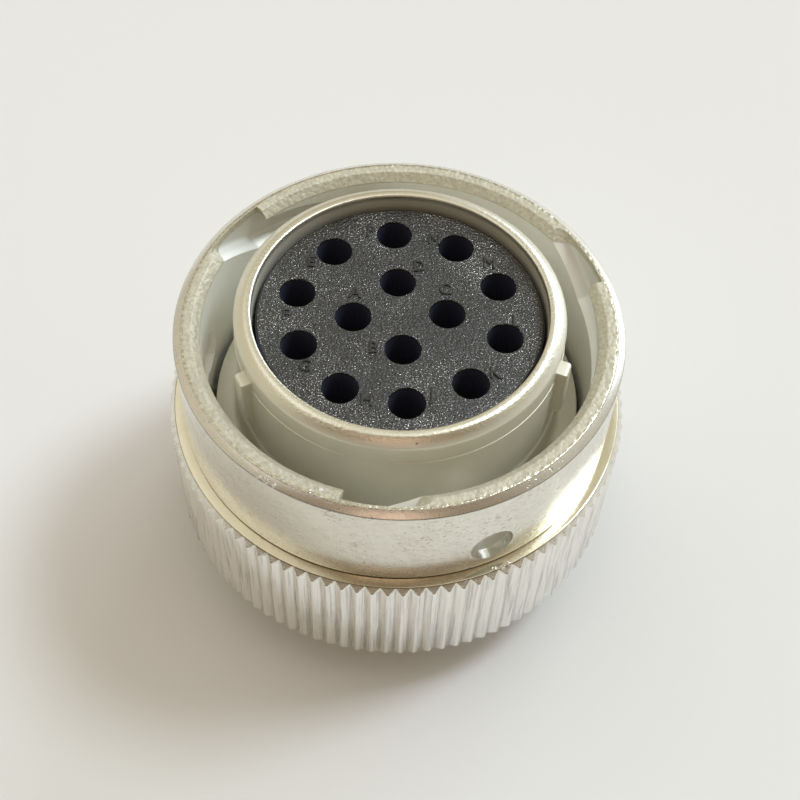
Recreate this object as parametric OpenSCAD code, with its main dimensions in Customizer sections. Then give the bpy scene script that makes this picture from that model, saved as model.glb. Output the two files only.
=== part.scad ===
// Cable plug of a circular connector: keyed shell, socket insert and a sprung bayonet coupling ring.
// The plug stands on its rear end, with the mating face up. All sizes are in millimetres.

/* [Contacts and insert] */
// Radius of the outer circle of contacts
outer_circle_r = 8.59; // [8:0.01:9.5]
// Contacts on the outer circle
outer_contacts = 10; // [8:1:10]
// Distance of the inner contacts that lie on the key axis from the centre
inner_axis_r = 3.43; // [3:0.01:4]
// Distance of the inner contacts that lie across the key axis from the centre
inner_cross_r = 3.77; // [3.2:0.01:4.2]
// Radius of a contact cavity
cavity_r = 1.39; // [1.2:0.01:1.6]
// Land between the outer cavities and the edge of the insert
insert_land = 1.62; // [1:0.02:2.5]
// Rounding of the insert's front edge
insert_edge = 0.2; // [0.1:0.05:0.4]
// Depth of the socket contacts below the insert's face
socket_recess = 4.2; // [3:0.1:6]
// Depth of the wire barrels inside the insert's back
tail_recess = 1.8; // [1:0.1:3]
// Radius of the pin hole in a socket contact
socket_bore_r = 0.8; // [0.7:0.05:0.9]
// Depth of the pin hole
socket_bore_len = 8; // [6:0.5:9]
// Length of the spring tines at the front of a socket contact
tine_len = 5.5; // [4:0.5:7]
// Width of the slots between the tines
tine_slot = 0.3; // [0.2:0.05:0.4]
// Depth of the wire barrel
wire_bore_len = 6; // [4:0.5:7]
// Length of the collar that holds a contact in the insert
collar_len = 1.2; // [0.8:0.1:2]
// Height of that collar above the contact's body
collar_h = 0.3; // [0.2:0.05:0.4]

/* [Shell] */
// Gap between the insert and the shell's front bore
insert_gap = 0.25; // [0.1:0.01:0.4]
// Wall of the shell's front barrel
barrel_wall = 1.5; // [1:0.05:2]
// Length of the barrel, from the floor of the mating recess to the rim
barrel_len = 11.8; // [10:0.1:14]
// Depth of the insert's face below the rim
insert_recess = 1.3; // [0.8:0.1:2]
// Flat width of the rim
rim_flat = 0.6; // [0.4:0.05:0.8]
// Height of the bevel outside the rim
rim_bevel = 0.65; // [0.4:0.05:1]
// Depth of the lead turned on the barrel's front
lead_step = 0.15; // [0.1:0.01:0.25]
// Length of that lead, rim bevel included
lead_len = 2.45; // [1.5:0.05:4]
// Rise of the barrel's foot above the barrel
foot_step = 0.2; // [0.1:0.05:0.4]
// Height of the barrel's foot
foot_len = 3; // [2:0.1:4]
// Fillet between the foot and the floor
foot_fillet = 0.6; // [0.3:0.05:1]
// Thickness of the flange that makes the floor
flange_t = 2; // [1.5:0.1:3]
// Gap between the flange and the ring's bore
flange_gap = 0.55; // [0.3:0.05:0.8]
// Height of the flange above the bearing behind it
flange_h = 1.3; // [1:0.05:1.6]
// Depth of the step that stops the insert
insert_stop = 0.3; // [0.2:0.05:0.5]
// Drop of the accessory thread below the bearing
thread_drop = 0.2; // [0.1:0.05:0.4]
// Length of the accessory thread
thread_len = 4; // [3:0.1:6]
// Chamfer of the thread's end
thread_chamfer = 0.5; // [0.3:0.05:0.8]
// Width of the relief behind the thread
relief_len = 1; // [0.6:0.1:1.5]
// Depth of that relief below the thread
relief_depth = 0.6; // [0.4:0.05:0.8]

/* [Keys] */
// Direction of the main key and of the contact pattern's axis
key_axis = 95.5; // [80:0.5:110]
// Angle from the main key to each side key
side_key_turn = 114; // [100:1:130]
// Width of the main key
main_key_w = 1.9; // [1.4:0.1:2.4]
// Width of a side key
side_key_w = 1.35; // [1:0.05:1.8]
// Height of the keys above the barrel
key_h = 0.85; // [0.5:0.05:1.2]
// Length of the keys
key_len = 4.9; // [3:0.1:6]
// Distance of the keys' front ends below the rim
key_drop = 1.6; // [1:0.1:2.2]
// Rounding of the keys' outer edges
key_round = 0.3; // [0.1:0.05:0.4]

/* [Coupling ring] */
// Width of the mating recess between barrel and ring
mating_gap = 2.7; // [2.2:0.05:3.2]
// Wall of the ring's smooth nose
nose_wall = 2.15; // [1.8:0.05:2.6]
// Length of the ring
ring_len = 21; // [19:0.1:24]
// Width of the bevel outside the ring's rim
nose_bevel_w = 0.65; // [0.4:0.05:0.9]
// Height of that bevel
nose_bevel_h = 0.42; // [0.3:0.02:0.7]
// Chamfer at the mouth of the bore
mouth_chamfer = 0.65; // [0.4:0.05:0.8]
// Length of the knurl
knurl_len = 11.5; // [10:0.1:12.5]
// Rise of the flat in front of the knurl above the nose
knurl_flat = 0.8; // [0.6:0.05:1.2]
// Radial depth of the knurl's grooves
knurl_depth = 0.44; // [0.3:0.02:0.6]
// Teeth of the knurl
knurl_teeth = 100; // [80:1:110]
// Share of the pitch that is flat at a tooth's tip
knurl_tip = 0.16; // [0.1:0.02:0.3]
// Depth of the turned relief at the foot of the nose
nose_relief = 0.2; // [0.1:0.02:0.3]
// Height of that relief
nose_relief_len = 0.6; // [0.4:0.05:0.8]
// Thickness of the shoulder inside the ring
shoulder_t = 2.4; // [1.6:0.1:3]
// Radial step of the recess in the ring's back
back_step = 0.55; // [0.3:0.05:0.8]
// Distance of the snap ring from the ring's back
back_recess = 2; // [1:0.1:3]
// Chamfer at the mouth of that recess
back_chamfer = 0.4; // [0.2:0.05:0.6]

/* [Bayonet] */
// Bayonet grooves around the ring
grooves = 3; // [2:1:3]
// Direction of the middle of the first entry slot
slot_axis = 269.7; // [240:0.1:300]
// Angle that an entry slot covers
slot_turn = 25; // [20:0.5:30]
// Web of metal left outside the grooves
groove_web = 0.9; // [0.6:0.05:1.2]
// Width of a groove along the ring's axis, at the bore
groove_w = 3; // [2.6:0.05:3.4]
// Draft of the groove's flanks, as rise over run
groove_draft = 0.4; // [0.1:0.05:0.6]
// Angle of the steep part of a groove
ramp_turn = 21; // [15:1:28]
// Drop of the steep part
ramp_drop = 3.35; // [2.5:0.05:4]
// Angle from the slot's edge to the end of the groove
groove_turn = 110; // [95:1:115]
// Drop of the whole groove
groove_drop = 8.4; // [7.5:0.05:9]
// Height of the detent hump in front of the groove's end
detent_h = 0.45; // [0.2:0.05:0.7]
// Angle of the detent hump, from its foot to its top
detent_turn = 5; // [3:0.5:8]
// Radius of a window
window_r = 1.82; // [1.4:0.02:2]
// Distance of the windows below the ring's rim
window_drop = 6.75; // [6:0.05:7.5]
// Angle from the slot's edge to the middle of a window
window_turn = 106.3; // [95:0.1:110]

/* [Springs and rings] */
// Axial play between pieces that touch in the stack
play = 0.05; // [0.02:0.01:0.1]
// Radial clearance of the ring on the shell's bearing
run_clear = 0.1; // [0.05:0.01:0.1]
// Radial clearance at the outside of a washer
washer_clear = 0.15; // [0.1:0.05:0.3]
// Thickness of the thrust washer
thrust_t = 0.6; // [0.4:0.05:1]
// Thickness of the rear washer
washer_t = 0.8; // [0.5:0.05:1.2]
// Height of the wave spring in place
spring_h = 2; // [1.6:0.1:2.5]
// Thickness of the wave spring's strip
spring_t = 0.35; // [0.2:0.05:0.5]
// Waves around the wave spring
spring_waves = 3; // [3:1:4]
// Thickness of the snap ring
snap_t = 1.2; // [0.8:0.1:1.5]
// Depth of the snap ring's groove
snap_depth = 0.7; // [0.5:0.05:0.9]
// Height of the snap ring above the bearing
snap_h = 1; // [0.7:0.05:1.3]
// Opening of the snap ring, in degrees
snap_open = 24; // [15:1:40]
// Thickness of the insert retaining ring
keeper_t = 1; // [0.8:0.1:1.3]
// Depth of the retaining ring's groove
keeper_depth = 0.55; // [0.4:0.05:0.7]
// Width of the retaining ring's lip over the insert
keeper_lip = 1.1; // [0.8:0.05:1.4]
// Distance of the retaining ring from the shell's back
keeper_recess = 2.4; // [1.5:0.1:3]
// Opening of the retaining ring, in degrees
keeper_open = 40; // [25:1:60]

/* [Hidden] */
$fn = 96;
// Overlap of cuts past the faces that they open
cut = 0.5;

// Radii, from the middle outwards
insert_r = outer_circle_r + cavity_r + insert_land;
bore_r = insert_r + insert_gap;
barrel_r = bore_r + barrel_wall;
lead_r = barrel_r - lead_step;
foot_r = barrel_r + foot_step;
key_r = barrel_r + key_h;
ring_bore_r = barrel_r + mating_gap;
nose_r = ring_bore_r + nose_wall;
flat_r = nose_r + knurl_flat;
root_r = flat_r + 0.05;
tip_r = root_r + knurl_depth;
back_bore_r = ring_bore_r + back_step;
flange_r = ring_bore_r - flange_gap;
bearing_r = flange_r - flange_h;
thread_r = bearing_r - thread_drop;
relief_r = thread_r - relief_depth;
rear_bore_r = bore_r + insert_stop;
snap_groove_r = bearing_r - snap_depth;
keeper_groove_r = rear_bore_r + keeper_depth;
groove_r = nose_r - groove_web;
contact_r = cavity_r - 0.09;
contact_collar_r = contact_r + collar_h;

// Heights, from the back upwards
thread_z1 = thread_chamfer + thread_len;
relief_z1 = thread_z1 + relief_len;
ring_z0 = thread_z1 + relief_len / 2;
snap_z0 = ring_z0 + back_recess;
snap_z1 = snap_z0 + snap_t;
washer_z0 = snap_z1 + play;
washer_z1 = washer_z0 + washer_t;
shoulder_z0 = washer_z1 + play;
shoulder_z1 = shoulder_z0 + shoulder_t;
thrust_z0 = shoulder_z1 + play;
thrust_z1 = thrust_z0 + thrust_t;
spring_z0 = thrust_z1 + play;
spring_z1 = spring_z0 + spring_h;
flange_z0 = spring_z1 + play;
floor_z = flange_z0 + flange_t;
rim_z = floor_z + barrel_len;
face_z = rim_z - insert_recess;
ring_z1 = ring_z0 + ring_len;
knurl_z1 = ring_z0 + knurl_len;
keeper_z0 = keeper_recess;
keeper_z1 = keeper_z0 + keeper_t;
insert_z0 = keeper_z1 + play;
insert_stop_z = flange_z0;
socket_z1 = face_z - socket_recess;
tail_z0 = insert_z0 + tail_recess;
collar_z0 = (socket_z1 + tail_z0 - collar_len) / 2;

// Places of the contacts: the inner four first, then the outer circle
contacts = concat(
    [for (i = [0:3]) let (r = i % 2 == 0 ? inner_cross_r : inner_axis_r) polar(r, key_axis + 90 + 90 * i)],
    [for (i = [0:outer_contacts - 1]) polar(outer_circle_r, key_axis + 360 * i / outer_contacts)]);
contact_names = [for (i = [0:len(contacts) - 1]) str("socket_contact_", chr(97 + i))];

function polar(r, a) = [r * cos(a), r * sin(a)];
// Points of a quarter round about a centre, from angle a to angle b
function arc(c, r, a, b, n = 6) = [for (i = [0:n]) c + polar(r, a + (b - a) * i / n)];

// Ring of rectangular section between two radii and two heights
module washer(r0, r1, z0, z1, turn = 360) {
    rotate_extrude(angle = turn)
        translate([r0, z0])
            square([r1 - r0, z1 - z0]);
}

// Closed solid through a list of four-cornered sections; a loop joins the last section to the first
module sweep(sections, loop = false) {
    n = len(sections);
    last = loop ? n - 1 : n - 2;
    sides = [for (i = [0:last]) for (j = [0:3]) let (k = (i + 1) % n, m = (j + 1) % 4)
        [4 * i + j, 4 * k + j, 4 * k + m, 4 * i + m]];
    ends = loop ? [] : [[0, 1, 2, 3], [for (j = [3:-1:0]) 4 * (n - 1) + j]];
    polyhedron([for (s = sections) each s], concat(sides, ends));
}

// One key on the barrel, with rounded outer edges
module key(w) {
    root = barrel_r - barrel_wall / 2;
    x = key_r - key_round;
    y = w / 2 - key_round;
    translate([0, 0, rim_z - key_drop - key_len])
        linear_extrude(key_len)
            polygon(concat(
                [[root, -w / 2]], arc([x, -y], key_round, -90, 0), arc([x, y], key_round, 0, 90), [[root, w / 2]]));
}

module shell_body() {
    foot_c = [foot_r + foot_fillet, floor_z + foot_fillet];
    edge = rim_flat / 4;
    rotate_extrude()
        polygon(concat(
            [[rear_bore_r + thread_chamfer, 0], [thread_r - thread_chamfer, 0], [thread_r, thread_chamfer]],
            [[thread_r, thread_z1], [relief_r, thread_z1], [relief_r, relief_z1]],
            [[bearing_r - thread_drop, relief_z1], [bearing_r, relief_z1 + thread_drop]],
            [[bearing_r, snap_z0 - play], [snap_groove_r, snap_z0 - play]],
            [[snap_groove_r, washer_z0], [bearing_r, washer_z0], [bearing_r, flange_z0]],
            [[flange_r, flange_z0], [flange_r, floor_z]],
            arc(foot_c, foot_fillet, 270, 180),
            [[foot_r, floor_z + foot_len - foot_step], [barrel_r, floor_z + foot_len]],
            [[barrel_r, rim_z - lead_len], [lead_r, rim_z - lead_len], [lead_r, rim_z - rim_bevel]],
            [[bore_r + rim_flat, rim_z], [bore_r + edge, rim_z], [bore_r, rim_z - edge]],
            [[bore_r, insert_stop_z], [rear_bore_r, insert_stop_z]],
            [[rear_bore_r, keeper_z1 + play], [keeper_groove_r, keeper_z1 + play]],
            [[keeper_groove_r, keeper_z0 - play], [rear_bore_r, keeper_z0 - play]],
            [[rear_bore_r, thread_chamfer]]));
}

// Shell: barrel with keys, floor flange, bearing for the ring and accessory thread
module plug_shell() {
    color("Silver")
        union() {
            shell_body();
            rotate([0, 0, key_axis])
                key(main_key_w);
            for (side = [-1, 1])
                rotate([0, 0, key_axis + side * side_key_turn])
                    key(side_key_w);
        }
}

// Insert: one moulded piece with a collar behind the shell's step and a cavity for each contact
module contact_insert() {
    collar_r = rear_bore_r - play;
    edge_c = [insert_r - insert_edge, face_z - insert_edge];
    color([0.12, 0.12, 0.12])
        difference() {
            rotate_extrude()
                polygon(concat(
                    [[0, insert_z0], [collar_r, insert_z0], [collar_r, insert_stop_z - play]],
                    [[insert_r, insert_stop_z - play]], arc(edge_c, insert_edge, 0, 90), [[0, face_z]]));
            for (p = contacts)
                translate(p)
                    cavity();
        }
}

// Cavity for one contact, with a recess for its collar
module cavity() {
    translate([0, 0, insert_z0 - cut])
        cylinder(r = cavity_r, h = face_z - insert_z0 + 2 * cut);
    translate([0, 0, collar_z0 - play])
        cylinder(r = contact_collar_r + play, h = collar_len + 2 * play);
}

// Turned socket contact: slotted tines in front, collar in the middle and wire barrel behind
module socket_contact() {
    wire_bore_r = socket_bore_r + 0.05;
    color([0.86, 0.7, 0.35])
        difference() {
            union() {
                translate([0, 0, tail_z0])
                    cylinder(r = contact_r, h = socket_z1 - tail_z0);
                translate([0, 0, collar_z0])
                    cylinder(r = contact_collar_r, h = collar_len);
            }
            translate([0, 0, socket_z1 - socket_bore_len])
                cylinder(r = socket_bore_r, h = socket_bore_len + cut);
            translate([0, 0, tail_z0 - cut])
                cylinder(r = wire_bore_r, h = wire_bore_len + cut);
            for (turn = [0, 90])
                rotate([0, 0, turn])
                    translate([-cavity_r, -tine_slot / 2, socket_z1 - tine_len])
                        cube([2 * cavity_r, tine_slot, tine_len + cut]);
            translate([0, 0, tail_z0 + wire_bore_len - wire_bore_r])
                rotate([0, 90, 0])
                    cylinder(r = socket_bore_r / 2, h = 2 * cavity_r);
        }
}

// Internal snap ring that keeps the insert against the shell's step
module insert_retaining_ring() {
    color("DimGray")
        rotate([0, 0, key_axis + keeper_open / 2])
            washer(rear_bore_r - keeper_lip, keeper_groove_r - play, keeper_z0, keeper_z1, 360 - keeper_open);
}

// Wave spring: a flat strip bent into waves, between the flange and the thrust washer
module wave_spring() {
    steps = 24 * spring_waves;
    r0 = bearing_r + 2 * run_clear;
    r1 = flange_r - play;
    rise = (spring_h - spring_t) / 2;
    function strip(a) = let (z = spring_z0 + rise * (1 - cos(spring_waves * a)), c = polar(1, a))
        [for (q = [[r0, z], [r0, z + spring_t], [r1, z + spring_t], [r1, z]]) [c.x * q[0], c.y * q[0], q[1]]];
    color("LightSlateGray")
        sweep([for (i = [0:steps - 1]) strip(360 * i / steps)], true);
}

// Washer that the spring pushes against the ring's shoulder
module thrust_washer() {
    color("LightSteelBlue")
        washer(bearing_r + run_clear, ring_bore_r - washer_clear, thrust_z0, thrust_z1);
}

// Washer between the ring's shoulder and the snap ring
module rear_washer() {
    color("LightSteelBlue")
        washer(bearing_r + run_clear, back_bore_r - washer_clear, washer_z0, washer_z1);
}

// External snap ring that holds the coupling ring on the shell
module snap_ring() {
    color("DimGray")
        rotate([0, 0, key_axis + 180 + snap_open / 2])
            washer(snap_groove_r + play, bearing_r + snap_h, snap_z0, snap_z1, 360 - snap_open);
}

// Outline of the straight knurl, one root and a narrow flat tip to each tooth
module knurl_outline() {
    pitch = 360 / knurl_teeth;
    tip = pitch * knurl_tip / 2;
    polygon([for (i = [0:knurl_teeth - 1]) let (a = i * pitch)
        each [polar(root_r, a - pitch / 2), polar(tip_r, a - tip), polar(tip_r, a + tip)]]);
}

// Knurled band, chamfered at both ends from the flat's edge to the tips
module knurl() {
    h = tip_r + cut - flat_r;
    intersection() {
        translate([0, 0, ring_z0])
            linear_extrude(knurl_len)
                knurl_outline();
        rotate_extrude()
            polygon([
                [0, ring_z0], [flat_r, ring_z0], [flat_r + h, ring_z0 + h],
                [flat_r + h, knurl_z1 - h], [flat_r, knurl_z1], [0, knurl_z1]]);
    }
}

// Smooth nose of the ring, with its rim bevel and the turned relief at its foot
module nose() {
    relief_top = knurl_z1 + nose_relief_len;
    rotate_extrude()
        polygon([
            [0, knurl_z1 - cut], [nose_r - nose_relief, knurl_z1 - cut], [nose_r - nose_relief, relief_top],
            [nose_r, relief_top], [nose_r, ring_z1 - nose_bevel_h], [nose_r - nose_bevel_w, ring_z1], [0, ring_z1]]);
}

// Space inside the ring, with the shoulder left standing
module ring_bore() {
    wide = mouth_chamfer + cut;
    rotate_extrude()
        polygon([
            [0, ring_z0 - cut], [back_bore_r + back_chamfer + cut, ring_z0 - cut],
            [back_bore_r, ring_z0 + back_chamfer], [back_bore_r, shoulder_z0],
            [bearing_r + run_clear, shoulder_z0], [bearing_r + run_clear, shoulder_z1],
            [ring_bore_r, shoulder_z1], [ring_bore_r, ring_z1 - mouth_chamfer],
            [ring_bore_r + wide, ring_z1 + cut], [0, ring_z1 + cut]]);
}

// Drop of a groove's lower flank below the rim, at an angle from the slot's edge
function flank_drop(t) =
    let (slow = (groove_drop - ramp_drop) / (groove_turn - ramp_turn),
         hump = detent_h * max(0, 1 - abs(t - window_turn + 2 * detent_turn) / detent_turn))
    t < ramp_turn ? ramp_drop * t / ramp_turn : ramp_drop + slow * (t - ramp_turn) - hump;

// One bayonet groove: an entry slot open at the rim, then a channel that falls to its end
module bayonet_groove() {
    inner_r = ring_bore_r - cut;
    lip_turn = slot_turn + 0.6;
    slot_steps = 10;
    groove_steps = 34;
    turns = concat(
        [-1], [for (i = [0:slot_steps]) slot_turn * i / slot_steps],
        [for (i = [0:groove_steps]) lip_turn + (groove_turn - lip_turn) * i / groove_steps]);
    function section(t) =
        let (z = ring_z1 - flank_drop(t), inside = groove_draft * cut,
             outside = groove_draft * (groove_r - ring_bore_r), open = t <= slot_turn,
             top = open ? ring_z1 + cut : z + groove_w, draft = open ? 0 : 1, c = polar(1, -t))
        [for (q = [[inner_r, z - inside], [groove_r, z + outside],
                   [groove_r, top - draft * outside], [inner_r, top + draft * inside]])
            [c.x * q[0], c.y * q[0], q[1]]];
    sweep([for (t = turns) section(t)]);
}

// Round window through the wall at the end of a groove
module window() {
    rotate([0, 0, -window_turn])
        translate([ring_bore_r - cut, 0, ring_z1 - window_drop])
            rotate([0, 90, 0])
                cylinder(r = window_r, h = nose_wall + knurl_flat + knurl_depth + 2 * cut);
}

// Coupling ring: knurl, smooth nose, inner shoulder, bayonet grooves and windows
module coupling_ring() {
    color("Gainsboro")
        difference() {
            union() {
                knurl();
                nose();
            }
            ring_bore();
            for (i = [0:grooves - 1])
                rotate([0, 0, slot_axis + slot_turn / 2 + 360 * i / grooves]) {
                    bayonet_groove();
                    window();
                }
        }
}

plug_shell();
contact_insert();
for (i = [0:len(contacts) - 1])
    translate(contacts[i]) socket_contact();
insert_retaining_ring();
wave_spring();
thrust_washer();
coupling_ring();
rear_washer();
snap_ring();
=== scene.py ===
"""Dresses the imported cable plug: the bayonet ring, the keyed shell, the insert and the small hardware get their
finished shapes and materials, and a pale table, soft light and a camera are set up around them."""

import math
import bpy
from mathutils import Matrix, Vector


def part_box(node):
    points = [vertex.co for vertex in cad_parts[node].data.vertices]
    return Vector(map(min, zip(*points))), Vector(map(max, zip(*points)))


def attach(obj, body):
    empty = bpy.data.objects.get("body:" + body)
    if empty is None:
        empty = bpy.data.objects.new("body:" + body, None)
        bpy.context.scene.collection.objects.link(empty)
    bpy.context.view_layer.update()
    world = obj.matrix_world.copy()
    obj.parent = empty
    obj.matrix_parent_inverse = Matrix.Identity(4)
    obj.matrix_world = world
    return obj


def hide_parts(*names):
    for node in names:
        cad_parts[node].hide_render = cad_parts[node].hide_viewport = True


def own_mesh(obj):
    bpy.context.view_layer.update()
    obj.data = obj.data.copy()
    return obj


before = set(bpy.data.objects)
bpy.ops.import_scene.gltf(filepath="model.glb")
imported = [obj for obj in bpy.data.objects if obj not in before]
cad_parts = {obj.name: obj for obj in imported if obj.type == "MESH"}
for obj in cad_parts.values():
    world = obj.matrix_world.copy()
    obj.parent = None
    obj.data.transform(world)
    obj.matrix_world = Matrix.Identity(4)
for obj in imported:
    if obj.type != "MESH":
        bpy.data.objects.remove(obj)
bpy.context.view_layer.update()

from types import SimpleNamespace

import bmesh
import bpy
from bpy.props import FloatProperty, FloatVectorProperty, IntProperty, PointerProperty
from mathutils import Matrix, Vector

bl_info = {
    "name": "Bayonet Cable Plug",
    "version": (1, 0, 0),
    "blender": (4, 5, 0),
    "location": "3D View > Sidebar > Plug",
    "description": "Finished shapes, materials and studio for a bayonet cable plug",
    "category": "Object",
}

RING_LOW, RING_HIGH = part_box("coupling_ring")
SHELL_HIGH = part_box("plug_shell")[1]
INSERT_LOW, INSERT_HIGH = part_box("contact_insert")
SPRING_LOW, SPRING_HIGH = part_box("wave_spring")
CONTACTS = [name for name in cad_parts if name.startswith("socket_contact_")]
MM = 0.001
TURN = 2 * math.pi
SHARP = math.radians(32)

# Working lengths in millimetres
MERGE = 1e-4  # points closer than this become one
FINE_MERGE = 1e-5  # the same for the letters and the slanting cut of the knurl
SEAM = 2e-3  # the same where the knurl meets the ring's body
NEAR = 1e-3  # a point this close lies on a surface
OVERCUT = 0.5  # how far inside the bore a cutter starts

# How finely round shapes are divided
TOOTH_SPLITS = 3  # parts of the ring's body behind each tooth
SHELL_STEPS, INSERT_STEPS, CAVITY_STEPS, SPRING_STEPS, THREAD_STEPS = 288, 240, 72, 144, 96

GROOVES = 3  # in the ring, each with its window
CAPITAL = 0.72  # height of a capital letter against the size of its text
MARK_CORE = 0.3  # share of a worn place's reach that is wholly worn
TABLE_REACH = 3  # metres from the plug to the table's edge
SENSOR = 36  # width of the camera's sensor in millimetres

# Each contact's letter, how many degrees it stands past its cavity, and on what radius in millimetres
MARKS = {
    "a": ("A", -34.6, 4.29), "b": ("B", -36.1, 3.97), "c": ("C", 33.3, 4.52), "d": ("D", -20.1, 5.33),
    "e": ("P", 12.6, 9.2), "f": ("E", 14.1, 9.15), "g": ("F", 15.7, 9.2), "h": ("G", 13.7, 9.05),
    "i": ("H", 15.2, 8.75), "j": ("J", 13.9, 8.15), "k": ("K", 13.4, 9.25), "l": ("L", 11.5, 9.25),
    "m": ("M", 15.9, 9.2), "n": ("N", 13.5, 8.6)}

# Worn places: radius, direction in degrees, depth below the rim or the flat, and reach, with lengths in millimetres
RIM_CHIPS = (
    (18.0, 236.6, 0.30, 0.5), (18.0, 238.8, 0.30, 0.5), (18.02, 241.0, 0.30, 0.45), (16.75, 243.6, 0.05, 0.35),
    (16.8, 245.6, 0.05, 0.3), (17.35, 250.0, 0.02, 0.4), (17.0, 252.0, 0.02, 0.4), (17.1, 256.0, 0.02, 0.35),
    (17.5, 229.4, 0.05, 0.3))
FLAT_SCUFFS = ((18.8, 296.4, 0, 0.45), (19.0, 298.2, 0, 0.45), (18.95, 299.8, 0, 0.4), (19.0, 303.2, 0, 0.25))
KNURL_SPECK = ((19.4, 247.5, 6.64, 0.32),)
SHELL_PIT = ((13.0, 277.4, 0.3, 0.17),)


# Properties

def length(name, description, millimetres):
    """A length property with its default in millimetres."""
    return FloatProperty(
        name=name, description=description, default=millimetres * MM, unit="LENGTH", subtype="DISTANCE", precision=5)


def angle(name, description, degrees):
    """An angle property with its default in degrees."""
    return FloatProperty(
        name=name, description=description, default=math.radians(degrees), unit="ROTATION", subtype="ANGLE")


def share(name, description, default):
    """A plain number."""
    return FloatProperty(name=name, description=description, default=default)


def colour(name, description, default):
    """A linear colour."""
    return FloatVectorProperty(
        name=name, description=description, default=default, size=3, min=0, max=1, subtype="COLOR")


class PlugRingSizes(bpy.types.PropertyGroup):
    """Sizes of the coupling ring"""
    bottom: length("Bottom", "Height of the ring's back", RING_LOW.z / MM)
    top: length("Top", "Height of the ring's rim", RING_HIGH.z / MM)
    tip_radius: length("Knurl Radius", "Radius over the knurl's tips", RING_HIGH.x / MM)
    knurl_depth: length("Knurl Depth", "Radial depth of the knurl", 0.44)
    knurl_top: length("Knurl Top", "Height of the flat in front of the knurl", 16.5)
    flat_radius: length("Flat Radius", "Outer radius of that flat", 19.0)
    knurl_teeth: IntProperty(name="Teeth", description="Teeth of the knurl", default=100, min=40, max=140)
    knurl_tip: share("Tip Share", "Share of the pitch that is flat at a tooth's tip", 0.16)
    nose_radius: length("Nose Radius", "Outside radius of the smooth nose", 18.2)
    relief_radius: length("Relief Radius", "Radius of the turned relief at the nose's foot", 17.9)
    relief_height: length("Relief Height", "Height of that relief", 0.13)
    bevel_width: length("Bevel Width", "Radial width of the bevel outside the rim", 0.65)
    bevel_height: length("Bevel Height", "Height of that bevel", 0.42)
    mouth: length("Mouth Chamfer", "Chamfer at the mouth of the bore", 0.65)
    bore_radius: length("Bore Radius", "Radius of the mating bore", 16.05)
    shoulder_top: length("Shoulder Top", "Height of the inner shoulder's front", 11.5)
    shoulder_bottom: length("Shoulder Bottom", "Height of the inner shoulder's back", 9.1)
    shoulder_radius: length("Shoulder Radius", "Bore of the inner shoulder", 14.3)
    back_radius: length("Back Radius", "Radius of the recess in the back", 16.6)
    back_chamfer: length("Back Chamfer", "Chamfer at the mouth of that recess", 0.4)
    slot_edge: angle("Slot Edge", "Direction of the edge where the first entry slot starts to fall", 282.2)
    slot_turn: angle("Slot Turn", "Angle that an entry slot covers", 25)
    ramp_turn: angle("Ramp Turn", "Angle of the groove's steep part", 21)
    ramp_drop: length("Ramp Drop", "Drop of the groove's steep part", 3.35)
    groove_turn: angle("Groove Turn", "Angle from the slot's edge to the groove's end", 110)
    groove_drop: length("Groove Drop", "Drop of the whole groove", 8.4)
    groove_width: length("Groove Width", "Width of the groove at the bore", 3.0)
    groove_radius: length("Groove Radius", "Radius of the groove's outer wall", 17.3)
    groove_draft: share("Groove Draft", "Rise over run of the groove's flanks", 0.4)
    window_radius: length("Window Radius", "Radius of a window", 1.82)
    window_drop: length("Window Drop", "Distance of the windows below the rim", 6.75)
    window_turn: angle("Window Turn", "Angle from the slot's edge to the middle of a window", 106.3)
    edge: length("Edge Rounding", "Rounding of the turned edges", 0.06)


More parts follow.
